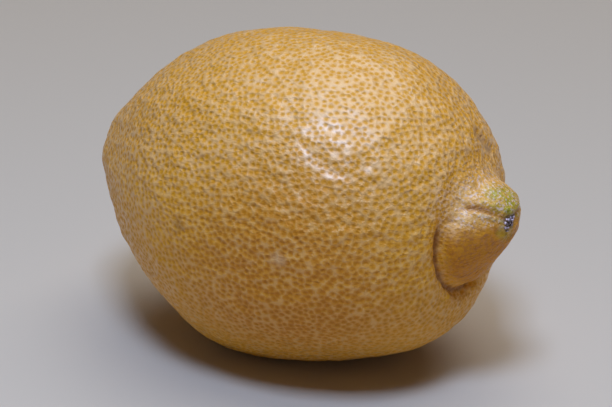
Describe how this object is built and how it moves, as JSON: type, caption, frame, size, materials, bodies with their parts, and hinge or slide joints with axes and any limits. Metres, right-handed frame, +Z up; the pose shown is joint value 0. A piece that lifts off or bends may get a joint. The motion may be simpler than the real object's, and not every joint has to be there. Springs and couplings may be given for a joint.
{
  "type": "lemon",
  "caption": "Whole ripe lemon lying on its side, with a pebbled rind, a nipple set in a furrow at one end and a dried calyx at the other.",
  "frame": {"origin": "middle of the outer box, on the surface that the lemon lies on", "axes": "+X from the stem end to the nipple, the longest extent; +Z up; -Y towards the side where the furrow round the nipple is deep"},
  "size_m": [0.0882, 0.062, 0.0617],
  "materials": {
    "rind": "satin, waxy, pebbled with oil glands"
  },
  "bodies": {
    "root": {"lemon": "rind"}
  },
  "joints": []
}
